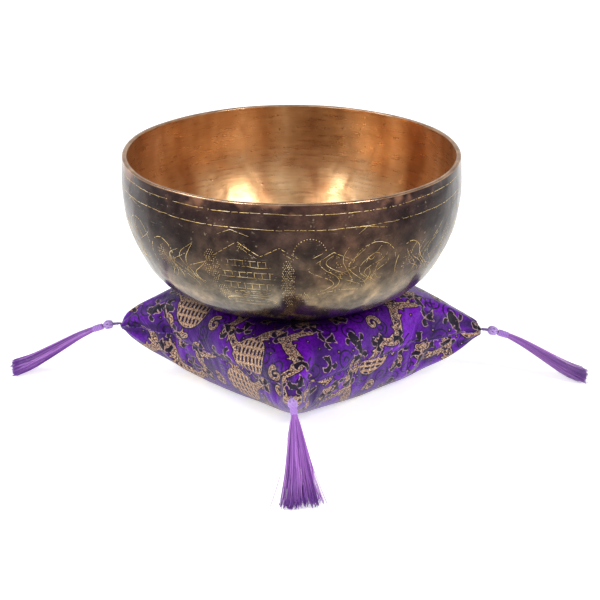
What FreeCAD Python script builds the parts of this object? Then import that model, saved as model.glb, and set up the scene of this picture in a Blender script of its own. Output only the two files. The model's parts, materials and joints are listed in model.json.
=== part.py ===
import FreeCAD, Part
import math
import os

# A hand-hammered singing bowl on a square silk cushion with a tassel at each corner.
# Millimetres, +Z up. The origin is the middle of the flat patch that the cushion rests on,
# +X points at the right-hand corner of the cushion and -Y at its front corner.

Vector = FreeCAD.Vector
os.makedirs("parts", exist_ok=True)

# ---- driving dimensions -------------------------------------------------------------------
BOWL_RADIUS = 125.0          # outside, at the rim
BOWL_HEIGHT = 111.0
RIM_HEIGHT = 181.0           # rim above the table, with the bowl sunk into the cushion
BOWL_CENTRE = (-6.0, 2.0)    # a bowl set down by hand is never quite central
RIM_WALL = 3.7
FOOT_WALL = 2.6
RIM_EDGE_ROUND = 0.9
RIM_LEAN = 0.08              # outward lean of the wall at the rim, going down
# the outside of the bowl: share of the radius, share of the height below the rim
BOWL_OUTLINE = [(1.000, 0.00), (1.010, 0.18), (0.983, 0.45), (0.922, 0.63),
                (0.816, 0.81), (0.600, 0.955), (0.000, 1.000)]

CORNER_REACH = 139.5         # cushion centre to a corner
SEAM_HEIGHT = 40.0           # the seam that joins the two covers, at the cushion's middle
SEAM_TILT = 0.045            # the bowl sits back on the cushion, so the seam rises to the front
TOP_RISE = 38.0              # crown above the seam
BOTTOM_DROP = 48.0           # belly below the seam, before the table flattens it
SIDE_PULL = 0.045            # how far the sides pull in between the corners
FULLNESS = 0.63              # 0.5 is a round edge, 1 a sharp one
COVER_THICKNESS = 0.8
CORNER_INSET = 1.5           # an inner layer's corner moves in by this share of its inset
LAYER_GAP = 0.3
SEAM_GAP = 0.9               # between the covers, where the sewing thread runs
THREAD_HEIGHT = 0.6
THREAD_WIDTH = 0.8
BOWL_CLEARANCE = 0.5         # between the bowl and the top cover

CORNER_GAP = 0.4             # between a corner's tip and the tassel's stem
STEM_RADIUS = 1.2
STEM_LENGTH = 3.5
STEM_END_GAP = 0.05          # between the stem's end and the knot
KNOT_RADIUS = 4.0
KNOT_DROP = 1.0
SWING_GAP = 0.3              # between the knot and what turns round it
NECK_SLOPE = 18.0            # degrees below level, where the skirt leaves the knot
NECK_RADIUS = 1.9
BINDING_RADIUS = 2.4
BINDING_LENGTH = 8.0
BINDING_FIT = 0.1            # between the binding and the strands it holds
# the skirt's middle line below its neck: distance out from the pivot, height above the seam
SKIRT_LINE = [(30.0, -10.2), (42.0, -17.6), (54.0, -25.2), (64.0, -31.2), (75.5, -36.2)]
SKIRT_HALF_THICKNESS = [2.7, 3.4, 3.8, 3.3, 2.9]
# share of the skirt's full half width at each of those points
SKIRT_FLARE = [0.34, 0.50, 0.66, 0.82, 1.00]
# each corner: where it is, which way its tassel lies, the skirt's half width at its end
# and its sideways bend at the end
TASSELS = {
    "front": (-90.0, -81.5, 13.0, -2.0),
    "right": (0.0, -1.4, 7.0, -3.0),
    "back": (90.0, 97.0, 9.0, 2.0),
    "left": (180.0, 183.8, 9.0, 1.0),
}
PATCH = 13                   # poles along each side of a cover's surface
SMALL = 0.01                 # two heights closer than this are the same


def put(name, shape):
    """Checks a node's solid and writes it."""
    print("%-26s valid %s  solids %d  volume %.1f" %
          (name, shape.isValid(), len(shape.Solids), shape.Volume))
    shape.exportStep("parts/%s.step" % name)


# ---- bowl ---------------------------------------------------------------------------------
def bowl_curve():
    """The outside of the bowl, from the rim down to the middle of its foot."""
    points = [Vector(share * BOWL_RADIUS, 0, RIM_HEIGHT - drop * BOWL_HEIGHT)
              for share, drop in BOWL_OUTLINE]
    curve = Part.BSplineCurve()
    curve.interpolate(Points=points, InitialTangent=Vector(RIM_LEAN, 0, -1),
                      FinalTangent=Vector(-1, 0, 0))
    return curve, points


def offset_curve(distance_at_rim, distance_at_foot):
    """The bowl's outside moved outward, or inward when the distances are negative."""
    curve, points = bowl_curve()
    moved = []
    for (share, drop), point in zip(BOWL_OUTLINE, points):
        along = curve.tangent(curve.parameter(point))[0]
        outward = Vector(-along.z, 0, along.x)
        distance = distance_at_rim + (distance_at_foot - distance_at_rim) * drop
        moved.append(point + outward * distance)
    moved[0].z = RIM_HEIGHT
    moved[-1].x = 0.0
    line = Part.BSplineCurve()
    line.interpolate(Points=moved, InitialTangent=Vector(RIM_LEAN, 0, -1),
                     FinalTangent=Vector(-1, 0, 0))
    return line, moved


def turned(edges):
    """A solid of revolution about the bowl's axis."""
    face = Part.Face(Part.Wire(edges))
    solid = face.revolve(Vector(0, 0, 0), Vector(0, 0, 1), 360)
    solid.translate(Vector(BOWL_CENTRE[0], BOWL_CENTRE[1], 0))
    return solid


def bowl():
    outside, outer = bowl_curve()
    inside, inner = offset_curve(-RIM_WALL, -FOOT_WALL)
    shell = turned([outside.toShape(),
                    Part.LineSegment(outer[-1], inner[-1]).toShape(),
                    inside.toShape(),
                    Part.LineSegment(inner[0], outer[0]).toShape()])
    rims = [edge for edge in shell.Edges
            if abs(edge.BoundBox.ZMin - RIM_HEIGHT) < SMALL and edge.BoundBox.ZLength < SMALL]
    return shell.makeFillet(RIM_EDGE_ROUND, rims)


def bowl_room(gap):
    """The space that the bowl takes up in the cushion, with a gap all round."""
    line, points = offset_curve(gap, gap)
    top = Vector(0, 0, RIM_HEIGHT)
    return turned([line.toShape(),
                   Part.LineSegment(points[-1], top).toShape(),
                   Part.LineSegment(top, points[0]).toShape()])


# ---- cushion ------------------------------------------------------------------------------
def on_diamond(u, v, reach):
    """A point of the cushion's outline square, whose corners lie on the axes."""
    half = reach / math.sqrt(2)
    x = half * u * (1 - SIDE_PULL * (1 - v * v))
    y = half * v * (1 - SIDE_PULL * (1 - u * u))
    return (x - y) / math.sqrt(2), (x + y) / math.sqrt(2)


def skin(reach, rise, base):
    """One side of the cushion: it bulges by rise and comes down to its base at its edges."""
    steps = [math.sin(math.pi / 2 * (2 * i / (PATCH - 1) - 1)) for i in range(PATCH)]
    poles = []
    for u in steps:
        row = []
        for v in steps:
            x, y = on_diamond(u, v, reach)
            swell = ((1 - u * u) * (1 - v * v)) ** FULLNESS
            row.append(Vector(x, y, base - SEAM_TILT * y + rise * swell))
        poles.append(row)
    knots = list(range(PATCH - 2))
    mults = [4] + [1] * (PATCH - 4) + [4]
    surface = Part.BSplineSurface()
    surface.buildFromPolesMultsKnots(poles, mults, mults, knots, knots, False, False, 3, 3)
    return surface.toShape()


def outline_face(reach, base):
    """The flat, slightly tilted shape inside the seam line."""
    return Part.Face(Part.Wire(Part.__sortEdges__(skin(reach, 1.0, base).Edges)))


def dome(reach, rise, base):
    """Half a cushion: a bulging skin closed by its flat outline."""
    shell = Part.makeShell([skin(reach, rise, base), outline_face(reach, base)])
    shell.sewShape()
    body = Part.makeSolid(shell)
    if body.Volume < 0:
        body.reverse()
    return body


def upper_half(inset, base):
    """The cushion above its seam, inset inside the outer cloth, hollowed for the bowl."""
    body = dome(CORNER_REACH - CORNER_INSET * inset, TOP_RISE - inset, base)
    return body.cut(bowl_room(BOWL_CLEARANCE + inset))


def lower_half(inset, base):
    """The cushion below its seam, inset inside the outer cloth, flat where it rests."""
    body = dome(CORNER_REACH - CORNER_INSET * inset, -BOTTOM_DROP + inset, base)
    reach = 2 * CORNER_REACH
    below = Part.makeBox(2 * reach, 2 * reach, reach, Vector(-reach, -reach, inset - reach))
    return body.cut(below)


def seam_thread():
    """The sewing thread, round the edge between the covers."""
    low = SEAM_HEIGHT - THREAD_HEIGHT / 2
    ring = outline_face(CORNER_REACH, low).cut(outline_face(CORNER_REACH - THREAD_WIDTH, low))
    return ring.extrude(Vector(0, 0, THREAD_HEIGHT))


def cushion():
    under = SEAM_HEIGHT - SEAM_GAP / 2
    over = SEAM_HEIGHT + SEAM_GAP / 2
    filling = COVER_THICKNESS + LAYER_GAP
    put("cushion_bottom_cover", lower_half(0.0, under).cut(lower_half(COVER_THICKNESS, under)))
    put("cushion_top_cover", upper_half(0.0, over).cut(upper_half(COVER_THICKNESS, over)))
    put("cushion_filling", upper_half(filling, SEAM_HEIGHT).fuse(
        lower_half(filling, SEAM_HEIGHT)).removeSplitter())
    put("cushion_seam_thread", seam_thread())


# ---- tassels ------------------------------------------------------------------------------
def polar(distance, angle):
    return Vector(distance * math.cos(math.radians(angle)),
                  distance * math.sin(math.radians(angle)), 0)


def tassel(name, corner_angle, heading, half_width, bend):
    """Stem, knot, binding and skirt, laid along +X from the pivot and then turned."""
    slope = math.radians(NECK_SLOPE)
    down = Vector(math.cos(slope), 0, -math.sin(slope))
    knot_centre = Vector(STEM_LENGTH + KNOT_RADIUS, 0, -KNOT_DROP)
    neck_start = knot_centre + down * (KNOT_RADIUS + SWING_GAP)
    neck_end = neck_start + down * BINDING_LENGTH

    to_knot = Vector(knot_centre)
    to_knot.normalize()
    stem_length = knot_centre.Length - KNOT_RADIUS - STEM_END_GAP
    stem = Part.makeCylinder(STEM_RADIUS, stem_length, Vector(0, 0, 0), to_knot)
    stem = stem.fuse(Part.makeSphere(STEM_RADIUS)).removeSplitter()
    knot = Part.makeSphere(KNOT_RADIUS, knot_centre)
    binding = Part.makeCylinder(BINDING_RADIUS, BINDING_LENGTH, neck_start, down).cut(
        Part.makeCylinder(NECK_RADIUS + BINDING_FIT, BINDING_LENGTH, neck_start, down))

    pivot = polar(CORNER_REACH + CORNER_GAP + STEM_RADIUS, corner_angle)
    pivot.z = SEAM_HEIGHT - SEAM_TILT * pivot.y
    steeper = pivot.z / SEAM_HEIGHT
    line = [neck_end] + [Vector(out, bend * (out / SKIRT_LINE[-1][0]) ** 2, height * steeper)
                         for out, height in SKIRT_LINE]
    widths = [NECK_RADIUS] + [max(NECK_RADIUS, half_width * share) for share in SKIRT_FLARE]
    depths = [NECK_RADIUS] + SKIRT_HALF_THICKNESS
    sections = []
    for i, centre in enumerate(line):
        before = line[max(i - 1, 0)]
        after = line[min(i + 1, len(line) - 1)]
        along = (after - before).normalize() if i else down
        across = Vector(0, 0, 1).cross(along).normalize()
        sections.append(oval(centre, along, across, widths[i], depths[i]))
    neck = Part.makeCylinder(NECK_RADIUS, BINDING_LENGTH, neck_start, down)
    skirt = neck.fuse(Part.makeLoft(sections, True)).removeSplitter()

    for piece, shape in (("stem", stem), ("knot", knot), ("binding", binding), ("skirt", skirt)):
        shape.rotate(Vector(0, 0, 0), Vector(0, 0, 1), heading)
        shape.translate(pivot)
        put("tassel_%s_%s" % (name, piece), shape)
    turn = FreeCAD.Rotation(Vector(0, 0, 1), heading)
    lift_axis = turn.multVec(Vector(0, -1, 0))
    lift = turn.multVec(knot_centre) + pivot
    print("  %s: swing at (%.4f, %.4f, %.4f), lift at (%.4f, %.4f, %.4f) about (%.5f, %.5f, 0)" %
          (name, pivot.x, pivot.y, pivot.z, lift.x, lift.y, lift.z, lift_axis.x, lift_axis.y))


def oval(centre, along, across, half_width, half_depth):
    """An ellipse across the skirt's middle line, wide side level."""
    if half_width >= half_depth:
        major, big, small = across, half_width, half_depth
    else:
        major, big, small = along.cross(across), half_depth, half_width
    ring = Part.Ellipse(centre + major * big,
                        centre + along.cross(major) * small, centre)
    return Part.Wire(ring.toShape())


put("bowl", bowl())
cushion()
for corner, (angle, heading, half_width, bend) in TASSELS.items():
    tassel(corner, angle, heading, half_width, bend)
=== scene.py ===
"""A hand-hammered singing bowl on a brocade cushion with four tassels, in metres."""
import bpy
import json
import math
import numpy as np
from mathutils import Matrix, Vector
from mathutils.bvhtree import BVHTree
from mathutils.kdtree import KDTree


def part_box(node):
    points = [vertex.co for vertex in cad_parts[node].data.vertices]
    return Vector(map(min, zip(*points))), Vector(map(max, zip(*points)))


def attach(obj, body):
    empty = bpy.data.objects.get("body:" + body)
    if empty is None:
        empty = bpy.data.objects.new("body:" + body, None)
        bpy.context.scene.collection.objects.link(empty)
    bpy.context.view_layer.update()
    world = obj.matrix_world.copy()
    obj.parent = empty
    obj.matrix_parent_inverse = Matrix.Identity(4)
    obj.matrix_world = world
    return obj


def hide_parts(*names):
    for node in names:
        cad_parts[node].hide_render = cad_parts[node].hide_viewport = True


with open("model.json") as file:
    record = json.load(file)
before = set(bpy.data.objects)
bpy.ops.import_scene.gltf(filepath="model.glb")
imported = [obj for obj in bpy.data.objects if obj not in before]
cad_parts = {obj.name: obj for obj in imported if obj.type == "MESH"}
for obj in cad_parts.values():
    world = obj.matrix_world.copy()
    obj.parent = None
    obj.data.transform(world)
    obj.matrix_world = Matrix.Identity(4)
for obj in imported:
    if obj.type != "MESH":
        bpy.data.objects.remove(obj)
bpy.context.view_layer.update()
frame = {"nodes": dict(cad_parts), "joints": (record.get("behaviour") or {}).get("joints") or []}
NODES = frame["nodes"]
JOINTS = {joint["name"]: joint for joint in frame["joints"]}
MM = 0.001
TURN = 2 * math.pi
CORNERS = ("front", "right", "back", "left")

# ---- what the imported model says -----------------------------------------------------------
BOWL_LOW, BOWL_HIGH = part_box("bowl")
BOWL_AXIS = ((BOWL_LOW + BOWL_HIGH) / 2).xy
RIM_Z = BOWL_HIGH.z
FOOT_Z = BOWL_LOW.z
BOWL_HEIGHT = RIM_Z - FOOT_Z
THREAD_LOW, THREAD_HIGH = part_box("cushion_seam_thread")
CORNER_REACH = THREAD_HIGH.x
PIVOTS = {corner: JOINTS["tassel_%s_swing" % corner]["pos_m"] for corner in CORNERS}
SEAM_Z = (PIVOTS["front"][2] + PIVOTS["back"][2]) / 2
SEAM_TILT = (PIVOTS["front"][2] - PIVOTS["back"][2]) / (2 * CORNER_REACH)


# ---- helpers ------------------------------------------------------------------------------
def mesh_object(name, points, faces, material, smooth=True):
    """An object at the origin with its place in its mesh."""
    mesh = bpy.data.meshes.new(name)
    mesh.from_pydata([tuple(p) for p in points], [], [tuple(f) for f in faces])
    mesh.materials.append(material)
    mesh.polygons.foreach_set("use_smooth", [smooth] * len(mesh.polygons))
    mesh.update()
    made = bpy.data.objects.new(name, mesh)
    bpy.context.scene.collection.objects.link(made)
    return made


def add_attribute(piece, name, values):
    """One number at each vertex, which the materials read."""
    layer = piece.data.attributes.new(name, "FLOAT", "POINT")
    layer.data.foreach_set("value", np.asarray(values, np.float32).ravel())


def add_vector(piece, name, values):
    layer = piece.data.attributes.new(name, "FLOAT_VECTOR", "POINT")
    layer.data.foreach_set("vector", np.asarray(values, np.float32).ravel())


def unit(vectors):
    return vectors / np.maximum(np.linalg.norm(vectors, axis=-1, keepdims=True), 1e-12)


def tubes(paths, radius, sides):
    """Many thin tubes at once. paths is (tubes, points, 3); the ends are closed."""
    paths = np.asarray(paths, float)
    count, steps, _ = paths.shape
    along = unit(np.gradient(paths, axis=1))
    across = unit(np.cross(along, [0.13, 0.21, 0.97]))
    other = np.cross(along, across)
    angle = np.arange(sides) * TURN / sides
    radius = np.broadcast_to(radius, (count, steps))[..., None, None]
    ring = (across[:, :, None] * np.cos(angle)[:, None] +
            other[:, :, None] * np.sin(angle)[:, None])
    points = (paths[:, :, None] + radius * ring).reshape(-1, 3)
    faces = []
    for k in range(count):
        base = k * steps * sides
        for i in range(steps - 1):
            low = base + i * sides
            for j in range(sides):
                nxt = (j + 1) % sides
                faces.append((low + j, low + nxt, low + sides + nxt, low + sides + j))
        faces.append(tuple(base + j for j in reversed(range(sides))))
        faces.append(tuple(base + (steps - 1) * sides + j for j in range(sides)))
    return points, faces


def wrap_distance(values, period):
    return (values + period / 2) % period - period / 2


# ---- materials ----------------------------------------------------------------------------
class Look:
    """A material and short calls for its nodes."""

    def __init__(self, name, **settings):
        self.material = bpy.data.materials.new(name)
        self.material.use_nodes = True
        self.tree = self.material.node_tree
        self.shader = self.tree.nodes["Principled BSDF"]
        self.set(**settings)

    def set(self, **settings):
        """Feeds the shader's sockets; an underscore stands for a space."""
        for name, value in settings.items():
            self.feed(self.shader.inputs[name.replace("_", " ")], value)

    def feed(self, socket, value):
        if isinstance(value, bpy.types.NodeSocket):
            self.tree.links.new(value, socket)
        else:
            if isinstance(value, tuple) and len(value) == 3 and socket.type == "RGBA":
                value = (*value, 1.0)
            socket.default_value = value

    def node(self, kind, *inputs, output=0, **named):
        made = self.tree.nodes.new("ShaderNode" + kind)
        for name in [n for n in named if hasattr(made, n)]:
            setattr(made, name, named.pop(name))
        for k, value in enumerate(inputs):
            if value is not None:
                self.feed(made.inputs[k], value)
        for name, value in named.items():
            self.feed(made.inputs[name.replace("_", " ")], value)
        return made.outputs[output]

    def math(self, operation, *values):
        return self.node("Math", *values, operation=operation)

    def place(self):
        return self.node("TexCoord", output=3)

    def stretched(self, scale, vector=None):
        return self.node("Mapping", vector or self.place(), Scale=scale)

    def noise(self, scale, detail=4.0, rough=0.55, vector=None, **more):
        return self.node("TexNoise", vector or self.place(), None, Scale=scale,
                         Detail=detail, Roughness=rough, **more)

    def step(self, value, low, high):
        """0 below low, 1 above high and smooth between."""
        return self.node("MapRange", value, low, high, 0.0, 1.0,
                         interpolation_type="SMOOTHSTEP")

    def mix(self, factor, first, second):
        made = self.tree.nodes.new("ShaderNodeMix")
        made.data_type = "RGBA"
        self.feed(made.inputs[0], factor)
        self.feed(made.inputs[6], first)
        self.feed(made.inputs[7], second)
        return made.outputs[2]

    def between(self, factor, first, second):
        """A number from first to second, as factor goes from 0 to 1."""
        made = self.tree.nodes.new("ShaderNodeMix")
        self.feed(made.inputs[0], factor)
        self.feed(made.inputs[2], first)
        self.feed(made.inputs[3], second)
        return made.outputs[0]

    def tint(self, factor, first, second):
        """first multiplied by second, as far as factor says."""
        made = self.tree.nodes.new("ShaderNodeMix")
        made.data_type = "RGBA"
        made.blend_type = "MULTIPLY"
        self.feed(made.inputs[0], factor)
        self.feed(made.inputs[6], first)
        self.feed(made.inputs[7], second)
        return made.outputs[2]

    def ramp(self, factor, stops):
        made = self.tree.nodes.new("ShaderNodeValToRGB")
        points = made.color_ramp.elements
        while len(points) < len(stops):
            points.new(0.5)
        for point, (where, colour) in zip(points, stops):
            point.position = where
            point.color = (*colour, 1.0)
        self.feed(made.inputs[0], factor)
        return made.outputs[0]

    def value_of(self, name):
        return self.node("Attribute", attribute_name=name, output=2)

    def vector_of(self, name):
        return self.node("Attribute", attribute_name=name, output=1)

    def bump(self, height, distance, strength=1.0):
        self.set(Normal=self.node("Bump", Strength=strength, Distance=distance,
                                  Height=height))


def bronze_look():
    """Dark hammered patina outside, lightened low on the belly by a painted reflection of the pale
    floor; warm polished bronze inside, its uneven tone partly painted reflection patches; a bare rim.
    """
    look = Look("bronze")
    inside = look.value_of("inside")
    rim = look.value_of("rim")
    height = look.value_of("height")
    dent = look.value_of("dent")

    clouds = look.noise(26.0, 5.0, 0.62)
    smoke = look.noise(11.0, 3.0, 0.55, vector=look.stretched((1.0, 1.0, 0.7)))
    # Colour up the outside wall: dark patina at the top and the foot, and a lighter band low on the
    # belly that is a painted reflection of the pale floor.
    level = look.math("ADD", height, look.math("MULTIPLY", look.math("SUBTRACT", clouds, 0.5),
                                               0.34))
    patina_and_floor_reflection = look.ramp(level, [(0.0, (0.034, 0.022, 0.026)), (0.16, (0.085, 0.072, 0.060)),
                               (0.28, (0.17, 0.152, 0.115)), (0.40, (0.105, 0.090, 0.066)),
                               (0.50, (0.052, 0.041, 0.032)), (0.74, (0.034, 0.023, 0.020)),
                               (1.0, (0.036, 0.021, 0.020))])
    patina_and_floor_reflection = look.tint(0.9, patina_and_floor_reflection, look.ramp(smoke, [(0.30, (0.46, 0.48, 0.56)),
                                                      (0.5, (1.0, 0.98, 0.98)),
                                                      (0.68, (1.75, 1.50, 1.24))]))
    mottle = look.noise(95.0, 4.0, 0.65)
    patina_and_floor_reflection = look.tint(0.8, patina_and_floor_reflection, look.ramp(mottle, [(0.34, (0.50, 0.50, 0.54)),
                                                       (0.5, (0.98, 0.96, 0.94)),
                                                       (0.66, (1.75, 1.62, 1.45))]))
    patina_and_floor_reflection = look.tint(0.7, patina_and_floor_reflection, look.ramp(dent, [(0.0, (1.55, 1.50, 1.42)),
                                                     (0.5, (0.85, 0.85, 0.88))]))
    rubbed = look.math("MULTIPLY", look.step(height, 0.90, 0.985),
                       look.step(look.noise(34.0, 3.0, 0.6), 0.50, 0.62))
    patina_and_floor_reflection = look.mix(look.math("MULTIPLY", rubbed, 0.75), patina_and_floor_reflection, (0.26, 0.125, 0.075))
    specks = look.step(look.noise(300.0, 2.0, 0.6), 0.68, 0.74)
    patina_and_floor_reflection = look.mix(look.math("MULTIPLY", specks, 0.35), patina_and_floor_reflection, (0.34, 0.26, 0.18))
    scratch = look.step(look.noise(1.0, 2.0, 0.6, vector=look.stretched((130.0, 130.0, 900.0))),
                        0.66, 0.76)
    patina_and_floor_reflection = look.mix(look.math("MULTIPLY", scratch, 0.22), patina_and_floor_reflection, (0.30, 0.26, 0.22))

    brushed = look.noise(60.0, 4.0, 0.6, vector=look.stretched((1.0, 1.0, 9.0)))
    # Warm inside colour: partly the bronze's own uneven tone, partly painted reflection in the bright
    # gold patches that stand for light mirrored between the walls.
    tone_and_reflection_panels = look.noise(1.0, 2.0, 0.45, vector=look.stretched((34.0, 34.0, 5.0)))
    warm = look.ramp(look.math("ADD", look.math("MULTIPLY", look.noise(16.0, 4.0, 0.6), 0.5),
                               look.math("MULTIPLY", tone_and_reflection_panels, 0.5)),
                     [(0.38, (0.38, 0.17, 0.070)), (0.48, (0.58, 0.33, 0.155)),
                      (0.57, (0.72, 0.46, 0.25)), (0.64, (0.90, 0.69, 0.42))])
    warm = look.tint(0.45, warm, look.ramp(brushed, [(0.3, (0.70, 0.66, 0.62)),
                                                      (0.7, (1.1, 1.08, 1.05))]))
    pits = look.step(look.noise(150.0, 3.0, 0.65), 0.66, 0.73)
    warm = look.mix(look.math("MULTIPLY", pits, 0.7), warm, (0.16, 0.09, 0.05))
    edge = look.ramp(look.noise(90.0, 3.0), [(0.3, (0.30, 0.17, 0.10)), (0.7, (0.62, 0.40, 0.25))])

    look.set(Base_Color=look.mix(rim, look.mix(inside, patina_and_floor_reflection, warm), edge))
    look.set(Metallic=look.between(inside, 1.0, 0.90))
    look.set(Roughness=look.between(inside,
                                    look.node("MapRange", clouds, 0.3, 0.7, 0.15, 0.30),
                                    look.node("MapRange", brushed, 0.3, 0.7, 0.25, 0.36)))
    grain = look.math("ADD", look.math("MULTIPLY", brushed, 0.6),
                      look.math("MULTIPLY", look.noise(500.0, 2.0), 0.25))
    look.bump(look.math("ADD", grain, look.math("MULTIPLY", pits, -0.8)), 0.00014, 0.6)
    return look.material


def engraved_look():
    """Scratched-through lines that show bright metal."""
    look = Look("engraving", Metallic=1.0, Roughness=0.38)
    worn = look.noise(130.0, 3.0)
    look.set(Base_Color=look.ramp(worn, [(0.32, (0.28, 0.17, 0.06)), (0.50, (0.60, 0.41, 0.15)),
                                         (0.68, (0.92, 0.74, 0.40))]))
    look.bump(look.noise(1500.0, 2.0), 0.0001, 0.5)
    return look.material


def brocade_look():
    """Violet satin with gold, black and tone-on-tone woven figures."""
    look = Look("brocade", Specular_IOR_Level=0.20, Sheen_Weight=0.03,
                Sheen_Roughness=0.35, Sheen_Tint=(0.75, 0.40, 1.0, 1.0))
    flat = look.vector_of("flat")
    gold_gap = look.value_of("gold")
    scaly = look.value_of("scaly")
    leaf_gap = look.value_of("leaf")
    scroll_gap = look.value_of("scroll")

    drift = look.noise(16.0, 3.0, 0.5, vector=flat)
    ground = look.ramp(drift, [(0.30, (0.026, 0.001, 0.085)), (0.46, (0.062, 0.002, 0.195)),
                               (0.72, (0.150, 0.005, 0.420))])
    grain = look.noise(420.0, 4.0, 0.75, vector=flat)
    ground = look.tint(0.85, ground, look.ramp(grain, [(0.36, (0.45, 0.40, 0.50)),
                                                       (0.50, (1.0, 1.0, 1.0)),
                                                       (0.66, (1.55, 1.60, 1.40))]))
    # Painted shade in the valleys of the creases and painted highlight on their ridges.
    ground = look.tint(1.0, ground, look.ramp(look.value_of("fold_shade_and_highlight"),
                                              [(0.0, (0.34, 0.30, 0.36)), (0.45, (1.0, 1.0, 1.0)),
                                               (0.9, (1.30, 1.35, 1.28))]))
    scroll = look.math("SUBTRACT", 1.0, look.step(look.math("ABSOLUTE", scroll_gap), 0.50, 0.85))
    ground = look.mix(look.math("MULTIPLY", scroll, 0.92), ground, (0.008, 0.002, 0.022))

    strands = look.noise(900.0, 2.0, 0.6, vector=flat)
    thread = look.ramp(strands, [(0.38, (0.16, 0.085, 0.055)), (0.50, (0.43, 0.265, 0.165)),
                                 (0.66, (0.75, 0.53, 0.38))])
    diagonal = look.node("Mapping", flat, Rotation=(0.0, 0.0, math.radians(38.0)))
    bars = look.node("TexWave", diagonal, Scale=78.0, Distortion=1.8, Detail=1.0,
                     Detail_Scale=60.0, output=1, bands_direction="X")
    cross = look.node("TexWave", diagonal, Scale=52.0, Distortion=1.4, Detail=1.0,
                      Detail_Scale=60.0, output=1, bands_direction="Y")
    lattice = look.math("MAXIMUM", look.step(bars, 0.52, 0.60), look.step(cross, 0.78, 0.86))
    cells = look.node("TexVoronoi", flat, Scale=460.0, feature="DISTANCE_TO_EDGE")
    woven = look.between(scaly, lattice, look.step(cells, 0.05, 0.13))
    border = look.math("SUBTRACT", 1.0, look.step(look.math("ABSOLUTE", gold_gap), 0.40, 0.60))
    filled = look.math("SUBTRACT", 1.0, look.step(gold_gap, -0.1, 0.15))
    gold = look.math("MULTIPLY", filled, look.math("MAXIMUM", woven, border))
    around = look.math("MULTIPLY", look.math("SUBTRACT", 1.0, look.step(gold_gap, 0.7, 1.3)), 0.95)
    colour = look.mix(around, ground, (0.008, 0.001, 0.022))
    colour = look.mix(gold, colour, thread)

    black = look.math("SUBTRACT", 1.0, look.step(leaf_gap, -0.1, 0.1))
    outline = look.math("SUBTRACT", 1.0, look.step(look.math("ABSOLUTE", leaf_gap), 0.18, 0.36))
    outline = look.math("MULTIPLY", outline, look.step(look.noise(260.0, 2.0, vector=flat),
                                                       0.40, 0.50))
    colour = look.mix(black, colour, (0.008, 0.004, 0.016))
    colour = look.mix(look.math("MULTIPLY", outline, 0.8), colour, (0.42, 0.27, 0.26))
    look.set(Base_Color=colour)
    metal = look.math("MAXIMUM", gold, look.math("MULTIPLY", outline, 0.6))
    look.set(Metallic=look.math("MULTIPLY", metal, 0.4))
    look.set(Roughness=look.node("MapRange", metal, 0.0, 1.0, 0.31, 0.48))
    warp = look.node("TexWave", flat, Scale=620.0, output=1, bands_direction="X")
    weft = look.node("TexWave", flat, Scale=620.0, output=1, bands_direction="Y")
    weave = look.math("ADD", look.math("MULTIPLY", warp, 0.12), look.math("MULTIPLY", weft, 0.12))
    raised = look.math("ADD", look.math("MULTIPLY", gold, 0.8), look.math("MULTIPLY", black, 0.4))
    crinkle = look.noise(1.0, 3.0, 0.6, vector=look.node(
        "Mapping", flat, Scale=(70.0, 22.0, 1.0), Rotation=(0.0, 0.0, math.radians(-32.0))),
        Distortion=1.2)
    raised = look.math("ADD", raised, look.math("MULTIPLY", crinkle, 9.0))
    look.bump(look.math("ADD", weave, raised), 0.00026, 0.75)
    return look.material


def thread_look(name, dark, light, roughness=0.34):
    """Glossy rayon: every strand has its own shade."""
    look = Look(name, Roughness=roughness, Sheen_Weight=0.14, Sheen_Roughness=0.4)
    shade = look.value_of("shade")
    look.set(Base_Color=look.mix(shade, dark, light))
    return look.material


def stage_look():
    """A pale paper sweep that stays white under soft light."""
    return Look("floor", Base_Color=(0.80, 0.80, 0.80, 1.0), Roughness=0.8,
                Emission_Color=(1.0, 1.0, 1.0, 1.0), Emission_Strength=0.55).material


def plain_look(name, colour, roughness):
    look = Look(name, Roughness=roughness)
    fibre = look.noise(700.0, 3.0)
    look.set(Base_Color=look.mix(fibre, colour, tuple(c * 0.7 for c in colour)))
    look.bump(fibre, 0.0003, 0.6)
    return look.material


LOOKS = {
    "bronze": bronze_look(),
    "engraving": engraved_look(),
    "brocade": brocade_look(),
    "cord": thread_look("cord", (0.12, 0.05, 0.25), (0.50, 0.32, 0.72), 0.5),
    "binding": thread_look("binding", (0.24, 0.09, 0.44), (0.52, 0.30, 0.76), 0.42),
    "skirt": thread_look("skirt", (0.15, 0.035, 0.31), (0.59, 0.235, 0.77)),
    "thread": thread_look("thread", (0.06, 0.015, 0.22), (0.16, 0.05, 0.42)),
    "filling": plain_look("filling", (0.82, 0.80, 0.76), 0.9),
}


# ---- bowl ---------------------------------------------------------------------------------
ROUND = 448                  # vertices round the bowl
OUTER_STEPS = 100
INNER_STEPS = 82
RIM_STEPS = 7
HAMMER_DEPTH = 0.42 * MM
HAMMER_SPACING = 15 * MM
WOBBLE = [(2, 0.45, 0.3), (3, 0.30, 1.9), (5, 0.18, 4.1), (8, 0.13, 2.2), (13, 0.07, 0.8)]


def bowl_profile():
    """The inner and outer outline, (radius, height) from the foot to the rim, read from the
    packed bowl by rays from the middle of its mouth."""
    mesh = NODES["bowl"].data
    tree = BVHTree.FromPolygons([v.co for v in mesh.vertices],
                                [tuple(p.vertices) for p in mesh.polygons])
    start = Vector((*BOWL_AXIS, RIM_Z - 1.2 * MM))
    inner, outer = [], []
    for angle in np.radians(np.linspace(89.9, 0.0, 140)):
        ray = Vector((math.cos(angle), 0.013, -math.sin(angle))).normalized()
        hit, _, _, far = tree.ray_cast(start, ray)
        beyond, _, _, _ = tree.ray_cast(hit + ray * 0.1 * MM, ray)
        for found, line in ((hit, inner), (beyond, outer)):
            line.append(((found.xy - BOWL_AXIS).length, found.z))
    return np.array(inner), np.array(outer)


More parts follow.
